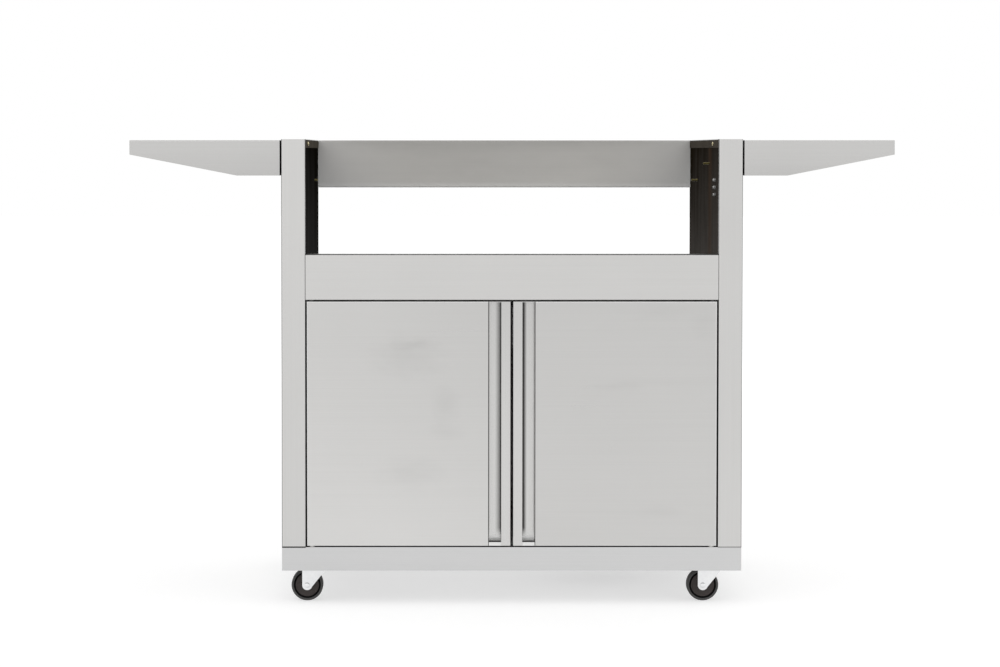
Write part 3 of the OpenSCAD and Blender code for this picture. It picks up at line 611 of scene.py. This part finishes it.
# The side walls are folded from brushed stainless sheet: the front face is the post that is seen beside the
# doors. The inner panel is dark coated steel, and a grey rail caps it under the wall's top.
def wall_touch(shade):
    """The wall's foot and its two front bends have painted shade, and it is a little lighter low down."""
    out, back, up, far_out = places(shade)
    sideways = abs(facing(shade, "x"))
    foot_height, inner_width, inner_depth = 0.0013, 0.002, 0.025
    outer_width, outer_depth = 0.0015, 0.0012
    # Painted shade along the foot where the wall stands on the pan.
    foot = (1 - up.above(pan_top + foot_height)) * (0.97 - 0.5 * out.above(0))
    at_inner_edge = (1 - back.above(front + inner_depth)) * (1 - far_out.above(wall_inner + inner_width))
    inner_bend_shade = ((sideways - 0.58) * 6).limited() * at_inner_edge
    at_outer_edge = (1 - back.above(front + outer_depth)) * far_out.above(pan_side - outer_width)
    outer_bend_shade = ((sideways - 0.3) * 4).limited() * at_outer_edge
    soil_and_sheen = up.ramp(0.40, 0.16) * -0.2
    return soil_and_sheen, 0.0, (foot + inner_bend_shade * 0.97 + outer_bend_shade * 0.75).limited()


give(brushed("wall steel", 0.562, "z", "y", touch=wall_touch), "left_side_panel", "right_side_panel")
give(zinc, "wall_stiffeners")

rust_line = -0.12
liner, shade = new_finish("dark liner")
streak = noise(shade, scaled(shade, (34, 34, 2)), 3, 0.6)
stain = noise(shade, scaled(shade, (7, 9, 6)), 3, 0.6)
out, back, up, _ = places(shade)
# Darker towards the top and the back: painted shade under the rail and deep in the bay; streaks and stains
# are the panel's own.
tone_mix = ((streak - 0.5) * 0.5 + stain * 0.6 + (0.90 - up) * 3 - back * 0.5 - 0.2).limited()
# The left panel is given darker tones than the right: painted shade. The right's rust streak is its own.
left_tone = mixed(shade, tone_mix, (0.0048, 0.0040, 0.0028, 1), (0.036, 0.035, 0.034, 1))
right_tone = mixed(shade, tone_mix, (0.014, 0.0105, 0.0065, 1), (0.096, 0.088, 0.081, 1))
rusty = abs(back - rust_line).ramp(0.05, 0.0) * (0.1 + streak * 0.55)
right_tone = mixed(shade, rusty, right_tone, (0.095, 0.050, 0.026, 1))
close_finish(liner, shade, {
    "Base Color": mixed(shade, out.above(0), left_tone, right_tone),
    "Roughness": 0.6 + stain * 0.3, "Specular IOR Level": 0.0,
    "Normal": relief(shade, stain * 0.0006 + streak * 0.00008)})
give(liner, "left_inner_panel", "right_inner_panel")

rail_paint, shade = new_finish("rail coating")
speck = noise(shade, scaled(shade, (400, 160, 400)), 3, 0.6)
stain = noise(shade, scaled(shade, (14, 8, 14)), 3)
tone_mix = (stain * 0.8 + speck * 0.3).limited()
close_finish(rail_paint, shade, {
    "Base Color": mixed(shade, tone_mix, (0.046, 0.040, 0.033, 1), (0.110, 0.096, 0.079, 1)),
    "Roughness": 0.6 + stain * 0.25, "Specular IOR Level": 0.0,
    "Normal": relief(shade, speck * 0.00003)})
give(rail_paint, "left_top_rail", "right_top_rail")

# The front apron, the back upper rail, the vented rear panel and the heat shield join the two walls. They
# are folded sheet, screwed to the inner panels through their ends.
apron_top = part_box("front_apron")[1].z
rail_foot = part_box("back_upper_rail")[0].z


def apron_touch(shade):
    """The apron's upper bend has painted shade, for the dark bay that it looks at."""
    _, _, up, _ = places(shade)
    bend_height = 0.0015
    return 0.0, 0.0, up.above(apron_top - bend_height) * 0.93


def rail_touch(shade):
    """The rail is darker in the middle and along its top, and has painted light at its ends and lower bend.
    """
    out, _, up, far_out = places(shade)
    dull_middle, end_light_start, end_light_full, band = -0.09, 0.20, 0.41, 0.8885
    bend_start, bend_full = 0.012, 0.006
    # Painted light at the ends lifts the shade that the walls cast, and a painted highlight runs along the
    # lower bend.
    ends = far_out.ramp(end_light_start, end_light_full) ** 2 * (0.52 + (0.875 - up) * 4.5).limited()
    lower_bend_light = up.ramp(rail_foot + bend_start, rail_foot + bend_full) * 0.25
    from_band = up - band
    over_band = shade.maths("MAXIMUM", from_band, 0.0)
    blot = noise(shade, scaled(shade, (9, 9, 26)), 4, 0.6)
    soil_and_sheen = 0.2 - abs(out - dull_middle) * 1.2 + from_band * 6.5 + over_band * over_band * 300
    return soil_and_sheen + (blot - 0.5) * 0.5, (ends + lower_bend_light).limited(), 0.0


give(brushed("apron steel", 0.565, "x", "y", touch=apron_touch), "front_apron")
give(brushed("rear steel", 0.475, "x", "y", rough=0.36, metal=0.3, warm=0.05, touch=rail_touch),
     "back_upper_rail")
give(brushed("panel steel", 0.46, "x", "y", rough=0.38), "rear_panel")
give(zinc, "heat_shield")

# Small pan head screws with a cross recess hold the rails and everything that joins the walls. Three dome
# nuts close the studs near the front of the right wall.
yellow = plated("yellow zinc", (0.42, 0.34, 0.16, 1), (0.80, 0.73, 0.48, 1), 0.27)
# A darker, rougher copy of the bright zinc for the screws and nuts inside the bay: its darkness is painted
# shade.
shaded_zinc = plated("zinc in painted shade", (0.19, 0.19, 0.19, 1), (0.38, 0.38, 0.37, 1), 0.42)


def pan_head_screw(form, place):
    """Adds a screw: its domed head with a cross recess stands on the place, and its shank goes down."""
    steps = 64
    radius, height = 4, 2.6
    dome_drop, dome_power = 0.45, 2.4
    recess_r, arm_half, recess_depth = radius * 0.58, radius * 0.13, height * 0.75
    shank = [(0, -8), (1.2, -8), (2, -6.5), (2, 0), (0, 0)]

    def level(r, angle):
        """Height of the dome, less the recess where the point is in one of its arms."""
        dome = height * (1 - dome_drop * (r / radius) ** dome_power)
        x, y = abs(r * math.cos(angle)), abs(r * math.sin(angle))
        reach = max(0, 1 - r / recess_r)
        arm = max(0, 1 - min(x, y) / arm_half) if reach else 0
        return dome - recess_depth * min(1, arm * 2) * min(1, reach * 2.2)
    rings = [[(0, 0, level(0, 0))]]
    for part in (0.06, 0.12, 0.18, 0.26, 0.34, 0.42, 0.5, 0.58, 0.66, 0.76, 0.86, 0.94, 1):
        rings.append([polar(radius * part, a, level(radius * part, a)) for a in angles(steps)])
    rim = [polar(radius, a, 0) for a in angles(steps)]
    join_rings(form, rings + [rim, [(0, 0, 0)]], place)
    turn(form, shank, place, steps=20)


wall_x = corners("right_side_panel")[0][0]
rail_screw_y, rail_screw_z = -193, corners("right_top_rail")[0][2] + 8
form = bmesh.new()
for hand in (-1, 1):
    pan_head_screw(form, standing(hand * wall_x, rail_screw_y, rail_screw_z, (-hand, 0, 0)))
new_piece("rail_screws_crosshead", form, yellow, "cart", "yellow_zinc", "rail_screws")

apron_low = corners("front_apron")[0]
shield_low, shield_high = corners("heat_shield")
panel_low, panel_high = corners("rear_panel")
upper_low, upper_high = corners("back_upper_rail")
apron_end_x, apron_screw_y = wall_x - 2, apron_low[1] + 30
shield_z = (shield_low[2] + shield_high[2]) / 2
panel_y, panel_middle = (panel_low[1] + panel_high[1]) / 2, (panel_low[2] + panel_high[2]) / 2
screws = [(apron_end_x, apron_screw_y, apron_low[2] + rise) for rise in (30, 66)]
screws += [(wall_x, y, shield_z) for y in (-210, 0, 253)]
screws += [(wall_x, panel_y, z) for z in (panel_low[2] + 60, panel_middle, panel_high[2] - 60)]
screws += [(wall_x, panel_y, z) for z in (upper_high[2] - 30, upper_low[2] + 25)]
form = bmesh.new()
for hand in (-1, 1):
    for x, y, z in screws:
        pan_head_screw(form, standing(hand * x, y, z, (-hand, 0, 0)))
new_piece("panel_screws_crosshead", form, shaded_zinc, "cart", "bright_zinc", "liner_screws")

liner_x = corners("right_inner_panel")[0][0]
nut_y, nut_top_z, nut_pitch = -229, 844.5, 14.7
dome_nut_flats, dome_nut_height = 6.8, 2.7
dome = [(3.2, 2.4), (3.2, 3.5), (3.05, 4.2), (2.6, 5), (1.9, 5.6), (1, 5.9), (0, 6)]
stud = [(0, -5), (4, -5), (4, -1.2), (2, -1.2), (2, 0.2), (0, 0.2)]
form = bmesh.new()
for n in range(3):
    place = standing(liner_x, nut_y, nut_top_z - n * nut_pitch, (-1, 0, 0))
    hexagon(form, place, dome_nut_flats, dome_nut_height)
    turn(form, dome, place, steps=36)
    turn(form, stud, place, steps=36)
new_piece("dome_nuts_turned", form, shaded_zinc, "cart", "bright_zinc", "dome_nuts")

# The gas hose passes through the rear panel in a rubber grommet. It has a rounded lip on each side of the
# sheet, and a groove in its rim springs over the edge of the hole.
soft_black, shade = new_finish("grommet rubber")
bloom = noise(shade, scaled(shade, (120, 120, 120)), 4, 0.6)
close_finish(soft_black, shade, {
    "Base Color": mixed(shade, bloom, (0.008, 0.008, 0.008, 1), (0.028, 0.027, 0.026, 1)),
    "Roughness": 0.5 + bloom * 0.3, "Normal": relief(shade, bloom * 0.00006)})

hole_low, hole_high = corners("hose_grommet")
hole_x, hole_z = (hole_low[0] + hole_high[0]) / 2, (hole_low[2] + hole_high[2]) / 2
panel_sheet = 1.2
outer_lip = arc(2.1, 13.2, 2.1, range(-75, 76, 25))
inner_lip = [(r, panel_sheet - h) for r, h in reversed(outer_lip)]
rim = [(22, 4.2), (23.4, 3.7), (24, 2.6), (24, 1.3), (20, panel_sheet), (20, 0), (24, -0.1), (24, -1.4),
       (23.4, -2.5), (22, -3)]
form = bmesh.new()
in_hole = standing(hole_x, panel_low[1], hole_z, (0, 1, 0))
turn(form, outer_lip + rim + inner_lip + [(11, 0.6)], in_hole, steps=72, closed=True)
new_piece("hose_grommet_moulded", form, soft_black, "cart", "black_rubber", "hose_grommet")

# Each door is a folded skin with a full height pull along its free edge: a narrow grip strip, and beside it
# a channel for the fingers. The doors turn on pins in nylon bushings and are held by magnets.
skin_low, skin_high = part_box("right_door_skin")
pull_foot, front_skin, grip_edge = skin_low.z, front + 0.0016, 0.0218
# Each smear is at (right, up), spreads by (half its width, half its height) and dulls by a depth.
smears = {"left": (((-0.196, 0.519), (0.054, 0.009), 0.26), ((-0.212, 0.4975), (0.072, 0.040), 0.20),
                   ((-0.1305, 0.398), (0.026, 0.036), 0.16), ((-0.1285, 0.345), (0.034, 0.014), 0.14),
                   ((-0.203, 0.262), (0.064, 0.030), 0.17)),
          "right": (((0.199, 0.436), (0.060, 0.008), 0.13), ((0.274, 0.444), (0.120, 0.007), 0.08),
                    ((0.294, 0.583), (0.070, 0.014), 0.12), ((0.383, 0.567), (0.026, 0.032), 0.11),
                    ((0.294, 0.186), (0.054, 0.011), 0.12), ((0.175, 0.186), (0.100, 0.005), 0.07))}
# A painted sheen gives the change sideways, the level at the door's top, and the slope and bow downwards.
painted_sheens = {"left": (-0.5, 0.155, -0.10, -2.6), "right": (0.0, 0.05, -0.32, -0.77)}
# A channel gives where its painted sheen is nil and how it changes upwards, then its painted shadow's fade
# end, start and depth, and its rim's.
channels = {"left": (0.19, 1.05, 0.0325, 0.0215, 0.78, 0.0444, 0.9),
            "right": (0.37, 1.0, 0.0306, 0.0246, 0.95, 0.0447, 0.45)}


def bends(shade):
    """1 on the bends that turn the sheet sideways, and less where they begin."""
    return ((abs(facing(shade, "x")) - 0.25) * 3).limited()


def skin_touch(side):
    """A door's skin is smeared in places and has a painted sheen that changes downwards, and its bends and
    channel foot are thin lines of painted light and painted shade.
    """
    def touch(shade):
        out, back, up, far_out = places(shade)
        blot = noise(shade, scaled(shade, (22, 22, 60)), 4, 0.6)
        soil_and_sheen = 0.0
        for (x, z), (half_x, half_z), depth in smears[side]:
            from_middle = shade.maths("SQRT", ((out - x) / half_x) ** 2 + ((up - z) / half_z) ** 2)
            soil_and_sheen = soil_and_sheen + depth * (1.1 - from_middle * 0.85 + (blot - 0.5) * 1.3).limited()
        sideways, at_top, slope, bow = painted_sheens[side]
        below = 0.6 - up
        soil_and_sheen = soil_and_sheen + at_top + below * slope + below * below * bow - (out + 0.2) * sideways
        head_height, foot_start, foot_full, lip_height, slack = 0.0019, 0.0015, 0.0007, 0.0039, 0.0002
        hinge_width, hinge_depth, edge_width, edge_depth = 0.0028, 0.005, 0.0023, 0.0028
        # Painted light on the hinge edge, lower bend, channel foot and top bend; painted shade on the free
        # edge's bends and top flange.
        at_head = up.above(skin_high.z - head_height)
        top_flange_shade = at_head * facing(shade, "z").above(0.9)
        top_bend_light = at_head * (1 - top_flange_shade) * 0.8
        inner_face = facing(shade, "y").above(0.5)
        foot_bend_light = up.ramp(skin_low.z + foot_start, skin_low.z + foot_full) * (1 - inner_face)
        in_channel = (1 - far_out.above(skin_low.x + slack)) * back.above(front_skin)
        channel_foot_light = in_channel * (1 - up.above(skin_low.z + lip_height))
        hinge_edge_light = far_out.above(skin_high.x - hinge_width) * (1 - back.above(front + hinge_depth))
        painted_light = ((hinge_edge_light + foot_bend_light).limited() * 0.5 + channel_foot_light + top_bend_light).limited()
        at_free_edge = (1 - back.above(front + edge_depth)) * (1 - far_out.above(skin_low.x + edge_width))
        return soil_and_sheen, painted_light, (bends(shade) * at_free_edge + top_flange_shade).limited() * 0.95
    return touch


def pull_touch(side):
    """The finger channel has painted shadow behind the grip that fades towards its middle, painted light at
    its foot and lip, and a painted sheen that changes upwards.
    """
    def touch(shade):
        _, back, up, far_out = places(shade)
        shift_height, change_up, fade_end, fade_start, fade_depth, rim_start, rim_depth = channels[side]
        lip_height, plate_start, plate_full, deep_from, slack = 0.0075, 0.150, 0.132, 0.024, 0.0001
        inside, deep = back.above(front_skin), back.above(front + deep_from)
        # Painted light at the channel's foot and on its lip; painted shadow in the pocket and along the rim.
        end_plate_light = up.ramp(plate_start, plate_full) * inside
        lip_highlight = (1 - up.above(pull_foot + lip_height)) * far_out.above(grip_edge) * (1 - inside)
        pocket_shade = inside * (1 - far_out.above(grip_edge + slack)) * 0.97
        fade = far_out.ramp(fade_end, fade_start) * fade_depth
        edge_shadow = (fade + far_out.above(rim_start) * rim_depth) * deep
        shadow = (pocket_shade + bends(shade) * inside * 0.2 + edge_shadow).limited() * (1 - end_plate_light)
        return (up - shift_height) * change_up, (end_plate_light ** 3 + lip_highlight).limited(), shadow
    return touch


# The left door and pull are given higher levels than the right ones: a painted difference in the light that
# each reflects.
for side, skin_level, pull_level in (("left", 0.556, 0.586), ("right", 0.527, 0.555)):
    give(brushed(side + " door steel", skin_level, "x", "y", rough=0.3, touch=skin_touch(side)),
         side + "_door_skin")
    give(brushed(side + " pull steel", pull_level, "z", "x", rough=0.24, touch=pull_touch(side), matt=0.55),
         side + "_door_pull")


def back_touch(shade):
    """The side of the back panel that is shut inside the door has painted shade."""
    return 0.0, 0.0, (0 - facing(shade, "y")).above(0.5) * 0.97


give(brushed("door back steel", 0.44, "x", "y", rough=0.4, touch=back_touch),
     "left_door_back", "right_door_back")
give(zinc, "left_door_strike", "right_door_strike")

nylon_white, shade = new_finish("white nylon")
cloud = noise(shade, scaled(shade, (150, 150, 150)), 3)
close_finish(nylon_white, shade, {
    "Base Color": mixed(shade, cloud, (0.74, 0.73, 0.69, 1), (0.86, 0.85, 0.82, 1)),
    "Roughness": 0.4 + cloud * 0.15, "Subsurface Weight": 0.1, "Subsurface Radius": (0.002, 0.002, 0.0015),
    "Normal": relief(shade, cloud * 0.00003)})
# The upper bushings, in the narrow gap under the apron, are near-black nylon: painted shade.
top_bushing_shade_nylon = moulded("nylon in painted shade", (0.012, 0.012, 0.012, 1), (0.03, 0.03, 0.03, 1), 900, 0.5)

hinge_x, hinge_y, hinge_z = pivot("right_door_hinge")
door_low, door_high = corners("right_door_skin")
sleeve = [(3.06, 14.5), (4.3, 14.5), (4.6, 14), (4.6, 0), (5.5, -0.2), (5.8, -0.6), (5.8, -1.9), (5.5, -2.4),
          (3.5, -2.5), (3.06, -2.2)]
for side, hand in (("left", -1), ("right", 1)):
    form = bmesh.new()
    for z, way in ((door_low[2], 1), (door_high[2], -1)):
        turn(form, sleeve, standing(hand * hinge_x, hinge_y, z, (0, 0, way)), closed=True)
    bushings = new_piece(side + "_door_bushings_moulded", form, nylon_white, side + "_door", "white_nylon",
                         side + "_door_bushings")
    bushings.data.materials.append(top_bushing_shade_nylon)
    for face in bushings.data.polygons:
        face.material_index = int(face.center.z > hinge_z * MM)


def hinge_pin(form, place, length):
    """Adds a pin with a shoulder at the place and a chamfered tip."""
    shoulder = [(0, -2), (3.2, -2), (3.8, -1.6), (3.8, 0), (3, 0)]
    turn(form, shoulder + [(3, length - 0.8), (2.4, length), (0, length)], place, steps=32)


pan_sheet, apron_sheet = 1.5, 1.2
lower_pin_z, upper_pin_z = corners("base_pan")[1][2] - pan_sheet, apron_low[2] + apron_sheet
lower_pin_length, upper_pin_length = 17, 15.2
form = bmesh.new()
for hand in (-1, 1):
    hinge_pin(form, standing(hand * hinge_x, hinge_y, lower_pin_z, (0, 0, 1)), lower_pin_length)
    hinge_pin(form, standing(hand * hinge_x, hinge_y, upper_pin_z, (0, 0, -1)), upper_pin_length)
new_piece("door_pins_turned", form, bright, "cart", "bright_zinc", "door_pivot_pins")

black_case, shade = new_finish("catch plastic")
speck = noise(shade, scaled(shade, (900, 900, 900)), 2)
close_finish(black_case, shade, {
    "Base Color": mixed(shade, speck, (0.010, 0.010, 0.011, 1), (0.022, 0.022, 0.024, 1)),
    "Roughness": 0.5 + speck * 0.1, "Normal": relief(shade, speck * 0.00003)})
give(black_case, "door_magnets")

# The side shelves are folded pans of the same stainless sheet, stiffened by a channel underneath, and they
# hinge on lugs and brackets that are bolted to the walls.
shelf_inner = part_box("right_shelf_pan")[0].x


def shelf_touch(shade):
    """The end that stands close beside the wall has painted shade, and the sides are a little darker lower
    down.
    """
    _, _, up, far_out = places(shade)
    shift_height, end_width = 0.905, 0.0015
    wall_end_shade = abs(facing(shade, "x")).above(0.7) * (1 - far_out.above(shelf_inner + end_width))
    return (shift_height - up).limited() * 5, 0.0, wall_end_shade * 0.93


for side, level in (("left", 0.494), ("right", 0.531)):
    give(brushed(side + " shelf steel", level, "x", "y", rough=0.36, touch=shelf_touch),
         side + "_shelf_pan")
    give(zinc, side + "_shelf_stiffener", side + "_shelf_lugs")
give(zinc, "shelf_brackets")

# Hex bolts fix each bracket to its wall. The long ones come out through the dark inner panel, where their
# threaded ends show. The shelf turns on riveted pins through the lugs.
# A darker copy of the yellow zinc for the bracket bolts, under the shelves and inside the bay: painted
# shade.
shaded_yellow_zinc = plated("yellow zinc in painted shade", (0.05, 0.040, 0.012, 1), (0.25, 0.21, 0.085, 1), 0.32)
bracket, wall_sheet, stiffener_sheet = 3, 1.2, 1.5
bracket_low, bracket_high = corners("shelf_brackets")
wall_out = corners("right_side_panel")[1][0]
nut_x = wall_out - wall_sheet - stiffener_sheet
shelf_foot = corners("right_shelf_pan")[0][2]
front_y, rear_y = bracket_low[1] + 18, bracket_high[1] - 18
low_z, high_z = shelf_foot - 13.5, shelf_foot + 23
bracket_bolt_flats, bracket_head_height, bracket_bolt_r, short_tip = 8.6, 4, 2.5, 8
form = bmesh.new()
for hand, tail, long_bolts in ((-1, 7, [(rear_y, low_z)]), (1, 13, [(rear_y, low_z), (front_y, high_z)])):
    for y, z in ((front_y, low_z), (front_y, high_z), (rear_y, low_z), (rear_y, high_z)):
        outward = standing(hand * (wall_out + bracket), y, z, (hand, 0, 0))
        inward = standing(hand * nut_x, y, z, (-hand, 0, 0))
        hexagon(form, outward, bracket_bolt_flats, bracket_head_height)
        hexagon(form, inward, bracket_bolt_flats, bracket_head_height)
        tip = nut_x - liner_x + tail if (y, z) in long_bolts else short_tip
        threaded(form, inward, bracket_bolt_r, -6, tip)
new_piece("bracket_bolts_hex", form, shaded_yellow_zinc, "cart", "yellow_zinc", "shelf_bracket_bolts")

shelf_x, _, shelf_z = pivot("right_shelf_hinge")
shelf_pin = [(0, -3), (3.6, -3), (4.4, -2.6), (4.6, -1.6), (4.6, 0), (3, 0), (3, 6.3), (4.6, 6.3),
             (4.6, 7.6), (4.2, 8.2), (2.6, 8.8), (0, 9)]
form = bmesh.new()
for hand in (-1, 1):
    for y, way in ((bracket_low[1] + bracket, -1), (bracket_high[1] - bracket, 1)):
        turn(form, shelf_pin, standing(hand * shelf_x, y, shelf_z, (0, way, 0)), steps=36)
new_piece("shelf_pins_riveted", form, bright, "cart", "bright_zinc", "shelf_pivots")

# The lugs are folded from zinc coated strip. Each foot is welded to the underside of the shelf by two short
# beads along either edge, laid by hand like the stitches under the base pan.
lug_low, lug_high = corners("right_shelf_lugs")
lug_foot, lug_weld_z, lug_weld_length, lug_weld_r = 16, lug_high[2] - 0.8, 12, 1.4
for side, hand in (("left", -1), ("right", 1)):
    welds = bmesh.new()
    for lug_y, way in ((lug_low[1] + lug_foot, -1), (lug_high[1] - lug_foot, 1)):
        for n, x in enumerate((lug_low[0] + 6, lug_low[0] + 28)):
            for y, seed in ((lug_y + way * lug_foot, n + int(lug_y)), (lug_y, n + int(lug_y) + 9)):
                start, end = (hand * x, y, lug_weld_z), (hand * (x + lug_weld_length), y, lug_weld_z)
                bead(welds, start, end, lug_weld_r, seed)
    new_piece(side + "_shelf_welds", welds, weld_steel, side + "_shelf", "zinc_sheet")
